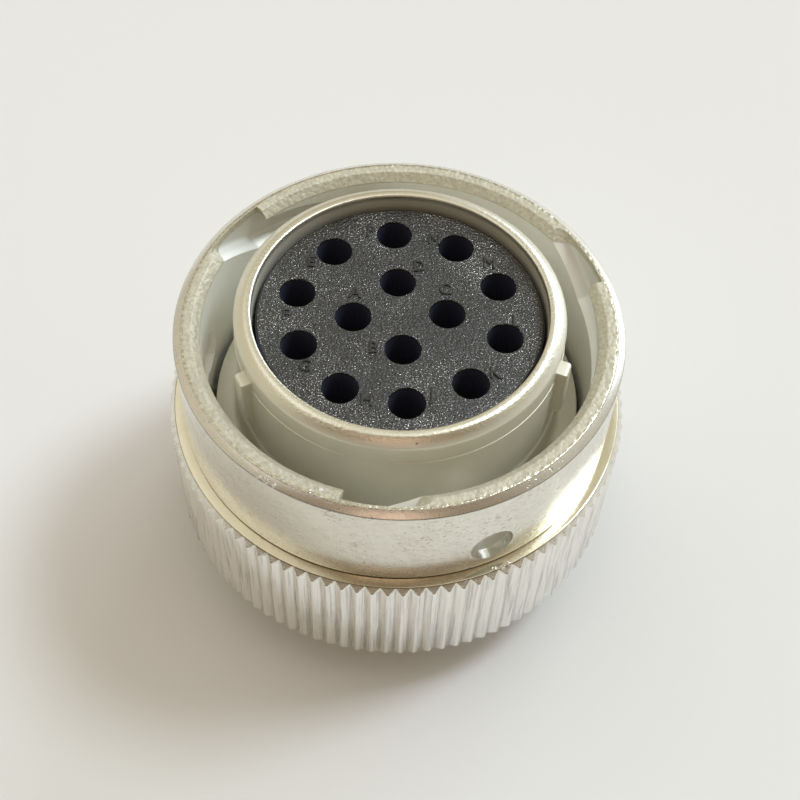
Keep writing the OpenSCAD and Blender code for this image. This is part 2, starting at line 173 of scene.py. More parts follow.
class PlugShellSizes(bpy.types.PropertyGroup):
    """Sizes of the keyed shell"""
    rim: length("Rim", "Height of the shell's rim", SHELL_HIGH.z / MM)
    bore_radius: length("Bore Radius", "Radius of the bore around the insert", 11.85)
    rim_flat: length("Rim Flat", "Width of the rim's flat", 0.6)
    rim_bevel: length("Rim Bevel", "Height of the bevel outside the rim", 0.65)
    lead_radius: length("Lead Radius", "Radius of the turned lead behind the bevel", 13.29)
    lead_length: length("Lead Length", "Length of that lead with the bevel", 2.45)
    barrel_radius: length("Barrel Radius", "Radius of the barrel", 13.35)
    foot_radius: length("Foot Radius", "Radius of the barrel's foot", 13.55)
    foot_length: length("Foot Length", "Height of the barrel's foot", 3.0)
    foot_fillet: length("Foot Fillet", "Fillet between foot and floor", 0.6)
    floor: length("Floor", "Height of the mating recess's floor", 16.25)
    flange_radius: length("Flange Radius", "Radius of the flange that makes the floor", 15.5)
    flange_bottom: length("Flange Bottom", "Height of the flange's back", 14.25)
    bearing_radius: length("Bearing Radius", "Radius of the bearing that carries the ring", 14.2)
    groove_bottom: length("Groove Bottom", "Lower side of the snap ring's groove", 6.95)
    groove_top: length("Groove Top", "Upper side of the snap ring's groove", 8.25)
    groove_radius: length("Groove Radius", "Radius of the snap ring's groove", 13.5)
    relief_top: length("Relief Top", "Top of the relief behind the thread", 5.5)
    thread_radius: length("Thread Radius", "Radius over the accessory thread", 14.0)
    thread_root: length("Thread Root", "Radius at the thread's root", 13.4)
    thread_top: length("Thread Top", "Upper end of the thread", 4.5)
    thread_pitch: length("Thread Pitch", "Pitch of the accessory thread", 1.0)
    thread_chamfer: length("Thread Chamfer", "Chamfer of the thread's end", 0.5)
    rear_radius: length("Rear Bore", "Radius of the bore behind the insert's stop", 12.15)
    keeper_bottom: length("Keeper Bottom", "Lower side of the retaining ring's groove", 2.35)
    keeper_top: length("Keeper Top", "Upper side of the retaining ring's groove", 3.45)
    keeper_radius: length("Keeper Radius", "Radius of the retaining ring's groove", 12.7)
    key_axis: angle("Key Axis", "Direction of the main key", 95.5)
    side_key_turn: angle("Side Key Turn", "Angle from the main key to each side key", 114)
    main_key_width: length("Main Key Width", "Width of the main key", 1.9)
    side_key_width: length("Side Key Width", "Width of a side key", 1.35)
    key_radius: length("Key Radius", "Radius over the keys", 14.2)
    key_length: length("Key Length", "Length of the keys", 4.9)
    key_drop: length("Key Drop", "Distance of the keys' front ends below the rim", 1.6)
    edge: length("Edge Rounding", "Rounding of the turned edges", 0.1)


class PlugInsertSizes(bpy.types.PropertyGroup):
    """Sizes of the insert and its marks"""
    bottom: length("Bottom", "Height of the insert's back", INSERT_LOW.z / MM)
    face: length("Face", "Height of the insert's front face", INSERT_HIGH.z / MM)
    radius: length("Radius", "Radius of the front part", 11.6)
    collar_radius: length("Collar Radius", "Radius of the collar behind the stop", INSERT_HIGH.x / MM)
    collar_top: length("Collar Top", "Height of the collar's front", 14.2)
    cavity_radius: length("Cavity Radius", "Radius of a contact cavity", 1.39)
    edge: length("Edge Rounding", "Rounding of the front edge", 0.35)
    lip: length("Cavity Lip", "Rounding at a cavity's mouth", 0.1)
    letter_height: length("Letter Height", "Height of a contact's letter", 1.15)
    letter_narrow: share("Letter Narrowing", "Width of a letter against its plain width", 0.9)
    letter_round: length("Letter Rounding", "Rounding of a letter's strokes", 0.045)
    letter_rise: length("Letter Rise", "Rise of the letters above the face", 0.11)


class PlugSpringSizes(bpy.types.PropertyGroup):
    """Sizes of the wave spring"""
    bottom: length("Bottom", "Height of the lower crests", SPRING_LOW.z / MM)
    top: length("Top", "Height of the upper crests", SPRING_HIGH.z / MM)
    inner_radius: length("Inner Radius", "Inner radius of the strip", 14.4)
    outer_radius: length("Outer Radius", "Outer radius of the strip", SPRING_HIGH.x / MM)
    strip: length("Strip Thickness", "Thickness of the strip", 0.35)
    waves: IntProperty(name="Waves", description="Waves around the spring", default=3, min=2, max=6)
    travel: length("Travel", "How far the sliding ring presses the spring together", 1.0)


class PlugFinishes(bpy.types.PropertyGroup):
    """Colours of the finishes"""
    ring: colour("Ring Plating", "Plating of the coupling ring", (0.87, 0.85, 0.775))
    rim: colour("Rim Plating", "Yellower plating on the ring's cast rim", (0.70, 0.665, 0.53))
    knurl: colour("Knurl Plating", "Whiter plating on the ring's knurl", (0.95, 0.93, 0.89))
    # Inside the bore the whiter tone is partly painted light on the inner walls, which lie in shade
    bore: colour("Bore Plating", "Whiter plating in the ring's bore and grooves", (0.95, 0.955, 0.91))
    # Painted reflection: the warm gold of light bouncing in the relief's hollow, put into the colour
    reflection: colour("Reflection", "Warm tarnish in the ring's turned relief", (0.72, 0.655, 0.46))
    blush: colour("Blush", "Faint rosy clouds in the ring's plating", (0.90, 0.78, 0.70))
    shell: colour("Shell Plating", "Plating of the shell", (0.83, 0.81, 0.69))
    insert: colour("Insert Black", "Moulded insert", (0.020, 0.019, 0.017))
    fleck: colour("Insert Fleck", "Bright flecks in the insert's skin", (0.62, 0.62, 0.60))
    # A painted shade: the bluish dark of the shaded holes, put on the moulding below its face
    cavity: colour("Cavity", "Bluish dark in the insert's cavities", (0.026, 0.031, 0.062))
    contact: colour("Contact Gold", "Plating of the contacts", (0.80, 0.60, 0.26))
    spring: colour("Spring Steel", "Springs and snap rings", (0.42, 0.42, 0.43))
    washer: colour("Washer Steel", "Washers", (0.62, 0.62, 0.61))
    table: colour("Table", "Pale table top", (0.878, 0.874, 0.866))


class PlugStage(bpy.types.PropertyGroup):
    """Light and camera"""
    key_azimuth: angle("Key Azimuth", "Direction of the key light, from +X", 26)
    key_elevation: angle("Key Elevation", "Height of the key light above the table", 54.5)
    key_width: angle("Key Width", "Angle that the key light looks wide", 16)
    key_strength: share("Key Strength", "Light of the key light in watts per square metre", 1.15)
    key_colour: colour("Key Colour", "Cool colour of the key light", (0.80, 0.92, 1.0))
    window_azimuth: angle("Window Azimuth", "Direction of the low window, from +X", 50)
    window_elevation: angle("Window Elevation", "Height of the window's middle above the table", 24)
    window_width: angle("Window Width", "Angle that the window looks wide", 50)
    window_strength: share("Window Strength", "Light of the window in watts per square metre", 1.14)
    window_colour: colour("Window Colour", "Cool colour of the window", (0.76, 0.87, 1.0))
    room_strength: share("Room Strength", "Light of a room colour of one", 1.08)
    ceiling: colour("Ceiling", "Light from above and behind", (0.57, 0.53, 0.42))
    near_ceiling: colour("Near Ceiling", "Light from above the camera", (0.20, 0.135, 0.075))
    white_ceiling: colour("White Ceiling", "Light from above and the left", (1.0, 0.97, 0.90))
    wall: colour("Wall", "Warm light from behind", (0.36, 0.30, 0.20))
    left_wall: colour("Left Wall", "Light from the left", (0.58, 0.52, 0.40))
    right_wall: colour("Right Wall", "Light from the right", (0.48, 0.45, 0.37))
    front_wall: colour("Front Wall", "Warm light from below the camera", (0.16, 0.11, 0.06))
    patch: colour("Patch", "Rosy light from the front, below the camera", (1.0, 0.73, 0.56))
    shade: colour("Shade", "Dark place of the camera", (0.05, 0.035, 0.02))
    zenith: colour("Zenith", "Light from straight above", (1.0, 0.97, 0.88))
    horizon: colour("Horizon", "Light from the sides low down", (0.50, 0.46, 0.38))
    backdrop: colour("Backdrop", "Pale room behind the table, as the camera sees it", (0.70, 0.69, 0.67))
    lens: FloatProperty(name="Lens", description="Focal length on a 36 mm sensor", default=60.75, unit="CAMERA")
    eye: FloatVectorProperty(
        name="Eye", description="Place of the camera", default=(0.279 * MM, -67.747 * MM, 111.014 * MM), size=3,
        unit="LENGTH", subtype="TRANSLATION", precision=5)
    tilt: angle("Tilt", "Downward tilt of the camera", 54.791)
    roll: angle("Roll", "Roll of the camera", 2.594)


def in_mm(group):
    """The group's values, with lengths in the millimetres that the meshes are modelled in."""
    sizes = SimpleNamespace()
    for prop in group.bl_rna.properties:
        if prop.identifier not in {"rna_type", "name"}:
            value = getattr(group, prop.identifier)
            setattr(sizes, prop.identifier, value / MM if prop.unit == "LENGTH" else value)
    return sizes


# Modelling

def around(radius, turn, height=0.0):
    """A point at a radius, an angle and a height."""
    return Vector((radius * math.cos(turn), radius * math.sin(turn), height))


def everything(bm):
    """All vertices, edges and faces of a mesh."""
    return [*bm.verts, *bm.edges, *bm.faces]


def only(kind, items):
    """The vertices, edges or faces among what an operator gives back."""
    return [item for item in items if isinstance(item, kind)]


def rounded(bm, geom, reach, affect, segments=4):
    """Rounds corners or edges of a mesh."""
    bmesh.ops.bevel(
        bm, geom=geom, offset=reach, offset_type="OFFSET", segments=segments, profile=0.5, affect=affect, material=-1)


def swung(bm, turn):
    """The mesh, turned about the plug's axis."""
    bmesh.ops.rotate(bm, verts=bm.verts, cent=(0, 0, 0), matrix=Matrix.Rotation(turn, 3, "Z"))
    return bm


def swept(bm, geom, turn, steps, **options):
    """Spins part of a mesh about the plug's axis, and gives what lies at the end."""
    return bmesh.ops.spin(
        bm, geom=geom, cent=(0, 0, 0), axis=(0, 0, 1), angle=turn, steps=steps, **options)["geom_last"]


def tidy(bm, distance=MERGE):
    """The mesh with merged doubles and normals that point outwards."""
    bmesh.ops.remove_doubles(bm, verts=bm.verts, dist=distance)
    bmesh.ops.dissolve_degenerate(bm, edges=bm.edges, dist=distance)
    bmesh.ops.recalc_face_normals(bm, faces=bm.faces)
    return bm


def turned(outline, steps, phase=0.0):
    """A closed lathe solid. Each point of the outline is radius, height and the rounding of that corner."""
    bm = bmesh.new()
    points = [bm.verts.new((radius, 0, height)) for radius, height, _ in outline]
    bm.faces.new(points)
    for rounding in sorted({point[2] for point in outline if point[2]}):
        corners = [vert for vert, point in zip(points, outline) if point[2] == rounding]
        rounded(bm, corners, rounding, "VERTICES")
    section = list(bm.edges)
    bmesh.ops.delete(bm, geom=list(bm.faces), context="FACES_ONLY")
    swept(swung(bm, phase), section, TURN, steps, use_merge=True)
    return tidy(bm)


def added(bm, other):
    """The first mesh with the second beside it; the second is used up."""
    mesh = bpy.data.meshes.new("addition")
    other.to_mesh(mesh)
    other.free()
    bm.from_mesh(mesh)
    bpy.data.meshes.remove(mesh)
    return bm


def loose_object(name, bm):
    """A working object from a mesh that is used up."""
    mesh = bpy.data.meshes.new(name)
    bm.to_mesh(mesh)
    bm.free()
    made = bpy.data.objects.new(name, mesh)
    bpy.context.scene.collection.objects.link(made)
    return made


def settled(made):
    """A new mesh of an object with its modifiers or its text worked out."""
    return bpy.data.meshes.new_from_object(made.evaluated_get(bpy.context.evaluated_depsgraph_get()))


def carved(bm, tool, operation="DIFFERENCE"):
    """The first mesh with the second cut out of it or joined to it; both are used up."""
    body = loose_object("carve_body", bm)
    cutter = loose_object("carve_tool", tool)
    carve = body.modifiers.new("carve", "BOOLEAN")
    carve.operation = operation
    carve.solver = "EXACT"
    carve.object = cutter
    made = settled(body)
    result = bmesh.new()
    result.from_mesh(made)
    bpy.data.meshes.remove(made)
    for used in (body, cutter):
        mesh = used.data
        bpy.data.objects.remove(used)
        bpy.data.meshes.remove(mesh)
    if not result.faces:
        raise RuntimeError("a cut left nothing over")
    return result


def piece(name, bm, body, material, replaces=()):
    """A finished piece in metres, at the origin, that rides on a body; the mesh in millimetres is used up."""
    bmesh.ops.scale(bm, vec=(MM, MM, MM), verts=bm.verts)
    made = loose_object(name, bm)
    made.data.polygons.foreach_set("use_smooth", [True] * len(made.data.polygons))
    made.data.set_sharp_from_angle(angle=SHARP)
    made.data.materials.append(material)
    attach(made, body)
    if replaces:
        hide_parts(*replaces)
    return made


# Coupling ring

def ring_body(ring, steps, phase):
    """The ring's turned form inside the knurl, with a plain wall where the knurl band will sit."""
    edge, fine = ring.edge, ring.edge / 2
    relief_top = ring.knurl_top + ring.relief_height
    return turned([
        (ring.relief_radius, ring.bottom, 0), (ring.relief_radius, ring.knurl_top, 0),
        (ring.relief_radius, relief_top, 0), (ring.nose_radius, relief_top, fine),
        (ring.nose_radius, ring.top - ring.bevel_height, edge),
        (ring.nose_radius - ring.bevel_width, ring.top, edge),
        (ring.bore_radius + ring.mouth, ring.top, edge), (ring.bore_radius, ring.top - ring.mouth, edge),
        (ring.bore_radius, ring.shoulder_top, 0), (ring.shoulder_radius, ring.shoulder_top, fine),
        (ring.shoulder_radius, ring.shoulder_bottom, fine), (ring.back_radius, ring.shoulder_bottom, 0),
        (ring.back_radius, ring.bottom + ring.back_chamfer, fine),
        (ring.back_radius + ring.back_chamfer, ring.bottom, fine)], steps, phase)


def groove_cutter(ring):
    """The space of one bayonet groove: an entry slot open at the rim, then a channel that falls to its end."""
    start, rise, fillet = math.radians(1.2), 5, 0.35  # before the slot's edge, above the rim, along the foot
    ramp_steps, slot_steps, channel_steps = 24, 6, 72
    steep = ring.ramp_drop / ring.ramp_turn
    slow = (ring.groove_drop - ring.ramp_drop) / (ring.groove_turn - ring.ramp_turn)
    inner = ring.bore_radius - OVERCUT
    sink = ring.groove_draft * OVERCUT
    lift = ring.groove_draft * (ring.groove_radius - ring.bore_radius)
    low = ring.top + steep * start
    bm = bmesh.new()
    corners = [bm.verts.new(around(radius, start, height)) for radius, height in (
        (inner, low - sink), (ring.groove_radius, low + lift),
        (ring.groove_radius, low + ring.groove_width - lift), (inner, low + ring.groove_width + sink),
        (ring.groove_radius, low + rise), (inner, low + rise))]
    bm.faces.new(corners[:4])
    bm.faces.new((corners[3], corners[2], corners[4], corners[5]))
    rounded(bm, [corners[1]], fillet, "VERTICES")

    def falling(faces, turn, fall, steps):
        """Turns the faces clockwise as they fall, and gives those at the end."""
        edges = dict.fromkeys(edge for face in faces for edge in face.edges)
        verts = dict.fromkeys(vert for face in faces for vert in face.verts)
        last = swept(bm, [*verts, *edges, *faces], -turn, steps, dvec=(0, 0, -fall * turn / steps))
        return only(bmesh.types.BMFace, last)

    faces = falling(list(bm.faces), ring.ramp_turn + start, steep, ramp_steps)
    faces = falling(faces, ring.slot_turn - ring.ramp_turn, slow, slot_steps)
    lowest = min(faces, key=lambda face: face.calc_center_median().z)
    falling([lowest], ring.groove_turn - ring.slot_turn, slow, channel_steps)
    return tidy(bm)


def window_cutter(ring):
    """A round drill through the wall at the end of a groove."""
    depth = ring.nose_radius - ring.bore_radius + 4 * OVERCUT
    middle = ring.bore_radius - OVERCUT + depth / 2
    bm = bmesh.new()
    bmesh.ops.create_cone(
        bm, cap_ends=True, segments=64, radius1=ring.window_radius, radius2=ring.window_radius, depth=depth,
        matrix=Matrix.Translation((middle, 0, ring.top - ring.window_drop)) @ Matrix.Rotation(math.pi / 2, 4, "Y"))
    return swung(bm, -ring.window_turn)


def knurl_band(ring):
    """The knurl as one tooth, cut off slanting at both ends, repeated around the ring."""
    rounding, crease = 0.045, 0.3  # millimetres, and the angle in radians from which an edge is rounded
    pitch = TURN / ring.knurl_teeth
    tip = pitch * ring.knurl_tip / 2
    root = ring.tip_radius - ring.knurl_depth
    outline = [(root, -pitch / 2), (ring.tip_radius, -tip), (ring.tip_radius, tip), (root, pitch / 2)]
    outline += [(ring.relief_radius, pitch * (0.5 - i / TOOTH_SPLITS)) for i in range(TOOTH_SPLITS + 1)]
    bm = bmesh.new()
    foot = bm.faces.new([bm.verts.new(around(radius, turn, ring.bottom)) for radius, turn in outline])
    raised = bmesh.ops.extrude_face_region(bm, geom=[foot])["geom"]
    bmesh.ops.translate(bm, verts=only(bmesh.types.BMVert, raised), vec=(0, 0, ring.knurl_top - ring.bottom))
    for height, up in ((ring.knurl_top, 1), (ring.bottom, -1)):
        cut = bmesh.ops.bisect_plane(
            bm, geom=everything(bm), dist=FINE_MERGE, plane_co=(ring.flat_radius, 0, height), plane_no=(1, 0, up),
            clear_outer=True)["geom_cut"]
        bmesh.ops.contextual_create(bm, geom=only(bmesh.types.BMEdge, cut))
    bmesh.ops.recalc_face_normals(bm, faces=bm.faces)

    def on_side(face):
        """Whether a face lies between two teeth or against the ring's body."""
        middle = face.calc_center_median()
        between_teeth = abs(abs(math.atan2(middle.y, middle.x)) - pitch / 2) * root < NEAR
        return between_teeth or middle.xy.length < ring.relief_radius + NEAR

    bmesh.ops.delete(bm, geom=[face for face in bm.faces if on_side(face)], context="FACES")
    creased = [edge for edge in bm.edges if len(edge.link_faces) == 2 and edge.calc_face_angle(0) > crease]
    rounded(bm, creased, rounding, "EDGES", segments=2)
    others = ring.knurl_teeth - 1
    swept(bm, everything(bm), TURN * others / ring.knurl_teeth, others, use_duplicate=True)
    return tidy(bm)


def dressed_ring(ring):
    """The whole ring: turned, slotted, drilled and knurled."""
    pitch = TURN / ring.knurl_teeth
    bm = ring_body(ring, ring.knurl_teeth * TOOTH_SPLITS, pitch / (2 * TOOTH_SPLITS) * (TOOTH_SPLITS % 2))
    for cutter in (groove_cutter, window_cutter):
        for number in range(GROOVES):
            bm = carved(bm, swung(cutter(ring), ring.slot_edge + number * TURN / GROOVES))
    hidden = [
        face for face in bm.faces
        if all(abs(vert.co.xy.length - ring.relief_radius) < SEAM for vert in face.verts)
        and face.calc_center_median().z < ring.knurl_top]
    bmesh.ops.delete(bm, geom=hidden, context="FACES")
    return tidy(added(bm, knurl_band(ring)), SEAM)


# Shell

def shell_body(shell):
    """The shell's turned form, with the thread zone at the thread's root."""
    edge, fine, soft, bore_edge = shell.edge, shell.edge / 2, 0.2, 0.18
    rear_chamfer, end_chamfer, chamfer = 0.5, 0.15, 0.2
    return turned([
        (shell.rear_radius + rear_chamfer, 0, fine), (shell.thread_root - end_chamfer, 0, fine),
        (shell.thread_root, end_chamfer, fine), (shell.thread_root, shell.relief_top, 0),
        (shell.bearing_radius - chamfer, shell.relief_top, fine),
        (shell.bearing_radius, shell.relief_top + chamfer, fine),
        (shell.bearing_radius, shell.groove_bottom, fine), (shell.groove_radius, shell.groove_bottom, 0),
        (shell.groove_radius, shell.groove_top, 0), (shell.bearing_radius, shell.groove_top, fine),
        (shell.bearing_radius, shell.flange_bottom, 0), (shell.flange_radius, shell.flange_bottom, fine),
        (shell.flange_radius, shell.floor, edge), (shell.foot_radius, shell.floor, shell.foot_fillet),
        (shell.foot_radius, shell.floor + shell.foot_length - chamfer, edge),
        (shell.barrel_radius, shell.floor + shell.foot_length, edge),
        (shell.barrel_radius, shell.rim - shell.lead_length, fine),
        (shell.lead_radius, shell.rim - shell.lead_length, fine),
        (shell.lead_radius, shell.rim - shell.rim_bevel, soft),
        (shell.bore_radius + shell.rim_flat, shell.rim, soft), (shell.bore_radius, shell.rim, bore_edge),
        (shell.bore_radius, shell.flange_bottom, 0), (shell.rear_radius, shell.flange_bottom, 0),
        (shell.rear_radius, shell.keeper_top, fine), (shell.keeper_radius, shell.keeper_top, 0),
        (shell.keeper_radius, shell.keeper_bottom, 0), (shell.rear_radius, shell.keeper_bottom, fine),
        (shell.rear_radius, rear_chamfer, fine)], SHELL_STEPS)


def key_block(shell, width, turn):
    """One key, rounded along its outer edges and ends, sunk into the barrel."""
    sunk, rounding = 0.7, 0.28
    depth = shell.key_radius - shell.barrel_radius + sunk
    bm = bmesh.new()
    bmesh.ops.create_cube(bm, size=1)
    bmesh.ops.scale(bm, vec=(depth, width, shell.key_length), verts=bm.verts)
    outer = [edge for edge in bm.edges if all(vert.co.x > 0 for vert in edge.verts)]
    rounded(bm, outer, rounding, "EDGES")
    middle = shell.rim - shell.key_drop - shell.key_length / 2
    bmesh.ops.translate(bm, verts=bm.verts, vec=(shell.key_radius - depth / 2, 0, middle))
    return swung(bm, turn)


def dressed_shell(shell):
    """The turned shell with its three keys."""
    bm = shell_body(shell)
    for width, side in ((shell.main_key_width, 0), (shell.side_key_width, -1), (shell.side_key_width, 1)):
        bm = carved(bm, key_block(shell, width, shell.key_axis + side * shell.side_key_turn), "UNION")
    return tidy(bm)


def thread_ridge(shell):
    """The accessory thread as one helical ridge, trimmed by the chamfered end."""
    pitch, overlap, lift = shell.thread_pitch, 0.1, 0.05
    half, crest = pitch * 0.44, pitch * 0.07
    turns = int(shell.thread_top / pitch) + 2
    root, limit = shell.thread_root - overlap, shell.thread_radius + overlap
    bm = bmesh.new()
    bm.faces.new([bm.verts.new((radius, 0, height - pitch)) for radius, height in (
        (root, -half), (shell.thread_radius, -crest), (shell.thread_radius, crest), (root, half))])
    swept(bm, everything(bm), TURN * turns, THREAD_STEPS * turns, dvec=(0, 0, pitch / THREAD_STEPS))
    envelope = turned([
        (root - overlap, lift, 0), (limit - shell.thread_chamfer - lift, lift, 0),
        (limit, shell.thread_chamfer + overlap, 0), (limit, shell.thread_top, 0),
        (root - overlap, shell.thread_top, 0)], THREAD_STEPS)
    return tidy(carved(tidy(bm), envelope, "INTERSECT"))


# Insert

def contact_places():
    """Last letter of each packed contact's name, and its place in millimetres."""
    places = []
    for name in sorted(CONTACTS):
        low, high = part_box(name)
        places.append((name[-1], (low + high) / 2 / MM))
    return places


def dressed_insert(insert):
    """The moulded insert with a rounded mouth at every cavity."""
    core, beyond, mouth = 9, 1, 0.06
    bm = turned([
        (core, insert.bottom, 0), (insert.collar_radius, insert.bottom, insert.lip),
        (insert.collar_radius, insert.collar_top, insert.lip), (insert.radius, insert.collar_top, 0),
        (insert.radius, insert.face, insert.edge), (core, insert.face, 0)], INSERT_STEPS)
    inside = [face for face in bm.faces if all(vert.co.xy.length < core + NEAR for vert in face.verts)]
    bmesh.ops.delete(bm, geom=inside, context="FACES")
    rims = [edge for edge in bm.edges if edge.is_boundary]
    for height in (insert.bottom, insert.face):
        bmesh.ops.contextual_create(bm, geom=[edge for edge in rims if abs(edge.verts[0].co.z - height) < NEAR])
    bmesh.ops.recalc_face_normals(bm, faces=bm.faces)
    flare = insert.cavity_radius + insert.lip
    for _, place in contact_places():
        tool = turned([
            (0, insert.bottom - beyond, 0), (insert.cavity_radius, insert.bottom - beyond, 0),
            (insert.cavity_radius, insert.face - insert.lip, mouth), (flare, insert.face, 0),
            (flare, insert.face + beyond, 0), (0, insert.face + beyond, 0)], CAVITY_STEPS)
        bmesh.ops.translate(tool, verts=tool.verts, vec=(place.x, place.y, 0))
        bm = carved(bm, tool)
    return tidy(bm)


def letters(insert):
    """The raised letter beside each cavity."""
    bm = bmesh.new()
    for suffix, place in contact_places():
        mark, turn, radius = MARKS[suffix]
        curve = bpy.data.curves.new("letter", "FONT")
        curve.body = mark
        curve.size = insert.letter_height / CAPITAL
        curve.extrude = insert.letter_rise - insert.letter_round
        curve.bevel_depth = insert.letter_round
        curve.bevel_resolution = 2
        curve.align_x = "CENTER"
        curve.align_y = "CENTER"
        curve.resolution_u = 3
        curve.offset = -insert.letter_round / 2
        text = bpy.data.objects.new("letter", curve)
        bpy.context.scene.collection.objects.link(text)
        mesh = settled(text)
        spot = around(radius, math.atan2(place.y, place.x) + math.radians(turn), insert.face)
        mesh.transform(Matrix.Translation(spot) @ Matrix.Diagonal((insert.letter_narrow, 1, 1, 1)))
        bm.from_mesh(mesh)
        bpy.data.objects.remove(text)
        bpy.data.curves.remove(curve)
        bpy.data.meshes.remove(mesh)
    return tidy(bm, FINE_MERGE)


# Wave spring

def dressed_spring(spring):
    """A flat strip bent into waves."""
    bm = turned([
        (spring.inner_radius, spring.bottom, 0), (spring.outer_radius, spring.bottom, 0),
        (spring.outer_radius, spring.bottom + spring.strip, 0),
        (spring.inner_radius, spring.bottom + spring.strip, 0)], SPRING_STEPS)
    rise = (spring.top - spring.bottom - spring.strip) / 2
    for vert in bm.verts:
        vert.co.z += rise * (1 - math.cos(spring.waves * math.atan2(vert.co.y, vert.co.x)))
    return bm


# Materials

class Wire:
    """One output of a material's nodes, on which Python arithmetic adds Math nodes."""

    def __init__(self, graph, socket):
        self.graph = graph
        self.socket = socket

    def math(self, operation, first, second):
        """A Math node on two values."""
        return self.graph.node("ShaderNodeMath", {"operation": operation}, {0: first, 1: second})

    def __add__(self, other):
        return self.math("ADD", self, other)

    def __radd__(self, other):
        return self.math("ADD", other, self)

    def __sub__(self, other):
        return self.math("SUBTRACT", self, other)

    def __rsub__(self, other):
        return self.math("SUBTRACT", other, self)

    def __mul__(self, other):
        return self.math("MULTIPLY", self, other)

    def __rmul__(self, other):
        return self.math("MULTIPLY", other, self)


class Finish:
    """A material or world in the making."""

    def __init__(self, owner, shader="Principled BSDF"):
        owner.use_nodes = True
        self.owner = owner
        self.tree = owner.node_tree
        self.shader = self.tree.nodes[shader]

    @classmethod
    def named(cls, name):
        """A new material."""
        return cls(bpy.data.materials.new(name))

    def node(self, kind, settings, inputs, output=0):
        """Adds a node, sets it up, feeds its sockets and gives one of its outputs."""
        made = self.tree.nodes.new(kind)
        for key, value in settings.items():
            setattr(made, key, value)
        for socket, value in inputs.items():
            self.feed(made.inputs[socket], value)
        return Wire(self, made.outputs[output])

    def feed(self, socket, value):
        """Links a wire to a socket, or sets the socket's own value."""
        if isinstance(value, Wire):
            self.tree.links.new(value.socket, socket)
        else:
            socket.default_value = value

    def vector(self, operation, inputs, output=0):
        """A Vector Math node."""
        return self.node("ShaderNodeVectorMath", {"operation": operation}, dict(enumerate(inputs)), output)

    def place(self):
        """The point on the piece, in metres."""
        return self.node("ShaderNodeTexCoord", {}, {}, "Object")

    def part(self, vector, axis):
        """One part of a vector."""
        return self.node("ShaderNodeSeparateXYZ", {}, {0: vector}, axis)

    def along(self, vector, direction):
        """How far a vector points in a direction."""
        return self.vector("DOT_PRODUCT", (vector, direction), "Value")

    def squeezed(self, place, scale):
        """The place with each axis scaled by itself."""
        return self.vector("MULTIPLY", (place, scale))

    def radius(self, place):
        """Distance from the plug's axis."""
        return self.vector("LENGTH", (self.squeezed(place, (1, 1, 0)),), "Value")

    def noise(self, place, scale, detail=2.0, roughness=0.5):
        """Cloudy values from 0 to 1; the scale is in lumps per metre."""
        return self.node("ShaderNodeTexNoise", {}, {
            "Vector": place, "Scale": scale, "Detail": detail, "Roughness": roughness}, "Fac")

    def cells(self, place, scale):
        """A random value in each of many small cells; the scale is in cells per metre."""
        return self.part(self.node("ShaderNodeTexVoronoi", {}, {"Vector": place, "Scale": scale}, "Color"), "X")

    def bubbles(self, place, scale):
        """Rounded grains from 0 between them to about 1 on top; the scale is in grains per metre."""
        return 1 - self.node("ShaderNodeTexVoronoi", {}, {"Vector": place, "Scale": scale}, "Distance")

    def near(self, place, level, marks):
        """How near the place is to any of several marks that lie below a level."""
        nearness = 0.0
        for radius, degrees, depth, reach in marks:
            point = around(radius * MM, math.radians(degrees), level - depth * MM)
            apart = self.vector("DISTANCE", (place, point), "Value")
            nearness = self.between(apart, reach * MM, reach * MARK_CORE * MM) + nearness
        return nearness

    def between(self, value, start, end):
        """A smooth step from 0 at the start to 1 at the end; the end may be the lower value."""
        return self.node("ShaderNodeMapRange", {"interpolation_type": "SMOOTHSTEP"}, {
            "Value": value, "From Min": start, "From Max": end})

    def within(self, value, low, full_low, full_high, high):
        """A smooth band of a value: 0 below low and above high, and 1 between the two full ones."""
        return self.between(value, low, full_low) * self.between(value, high, full_high)

    def mix(self, factor, first, second):
        """A blend of two colours, each a wire or three numbers."""
        first, second = (tint if isinstance(tint, Wire) else (*tint, 1) for tint in (first, second))
        return self.node("ShaderNodeMix", {"data_type": "RGBA"}, {0: factor, 6: first, 7: second}, 2)

    def layered(self, tint, layers):
        """A colour with others laid over it in turn, each as far as its mask says."""
        for mask, over in layers:
            tint = self.mix(mask, tint, over)
        return tint

    def bump(self, height):
        """A surface normal from a height in hundredths of a millimetre."""
        return self.node("ShaderNodeBump", {}, {"Height": height, "Strength": 1.0, "Distance": 0.01 * MM})

    def done(self, sockets):
        """Feeds the shader's sockets and gives the material or world."""
        for name, value in sockets.items():
            self.feed(self.shader.inputs[name], value)
        return self.owner


def scaled(base, amount):
    """A lighter or darker colour."""
    return [min(1, part * amount) for part in base]


